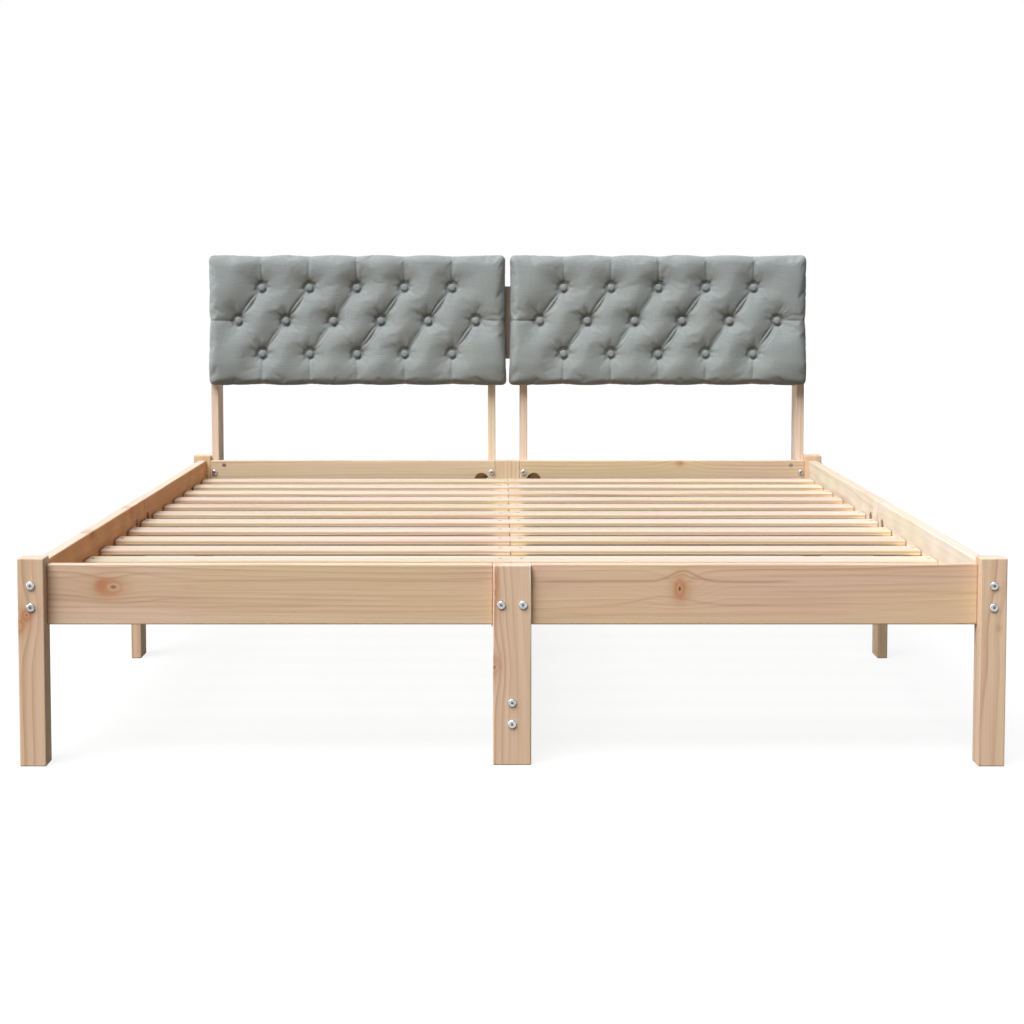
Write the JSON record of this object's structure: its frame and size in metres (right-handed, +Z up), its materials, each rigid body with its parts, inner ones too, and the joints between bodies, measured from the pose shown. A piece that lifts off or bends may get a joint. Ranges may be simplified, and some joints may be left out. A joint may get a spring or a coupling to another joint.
{
  "type": "bed frame",
  "caption": "Low pine double bed frame with a slatted deck on side ledgers, a centre beam with legs, and a two-part button-tufted headboard.",
  "frame": {"origin": "on the floor, under the middle of the whole bed, headboard uprights and bolt heads included", "axes": "+Y from the foot to the headboard, +X to the right as seen from the foot, +Z up"},
  "size_m": [1.676, 2.171, 0.885],
  "materials": {
    "pine": "planed pine, clear matt",
    "plywood": "raw plywood",
    "beech": "turned beech",
    "woven_fabric": "mid-grey plain weave",
    "zinc_steel": "zinc plated, satin"
  },
  "bodies": {
    "root": {"angle_brackets": "zinc_steel", "barrel_nuts": "zinc_steel", "center_bearer": "pine", "center_leg_cheek_left": "pine", "center_leg_cheek_right": "pine", "center_post_bolts": "zinc_steel", "center_stretcher": "pine", "center_strut_foot": "pine", "center_strut_head": "pine", "corner_bolts": "zinc_steel", "frame_screws": "zinc_steel", "front_center_post": "pine", "front_post_left": "pine", "front_post_right": "pine", "front_rail_left": "pine", "front_rail_right": "pine", "headboard_bolts": "zinc_steel", "headboard_buttons": "woven_fabric", "headboard_cushion_left": "woven_fabric", "headboard_cushion_right": "woven_fabric", "headboard_panel_left": "plywood", "headboard_panel_right": "plywood", "headboard_spacer": "pine", "headboard_upright_left_inner": "pine", "headboard_upright_left_outer": "pine", "headboard_upright_right_inner": "pine", "headboard_upright_right_outer": "pine", "pocket_bolts": "zinc_steel", "rear_center_post": "pine", "rear_post_left": "pine", "rear_post_right": "pine", "rear_rail_left": "pine", "rear_rail_right": "pine", "side_mid_leg_left": "pine", "side_mid_leg_right": "pine", "side_rail_left_front": "pine", "side_rail_left_rear": "pine", "side_rail_right_front": "pine", "side_rail_right_rear": "pine", "slat_ledger_left_front": "pine", "slat_ledger_left_rear": "pine", "slat_ledger_right_front": "pine", "slat_ledger_right_rear": "pine", "slat_row_01": "pine", "slat_row_02": "pine", "slat_row_03": "pine", "slat_row_04": "pine", "slat_row_05": "pine", "slat_row_06": "pine", "slat_row_07": "pine", "slat_row_08": "pine", "slat_row_09": "pine", "slat_row_10": "pine", "slat_row_11": "pine", "slat_row_12": "pine", "slat_row_13": "pine", "slat_screws": "zinc_steel", "through_bolts_and_nuts": "zinc_steel", "wooden_dowels": "beech"}
  },
  "joints": []
}
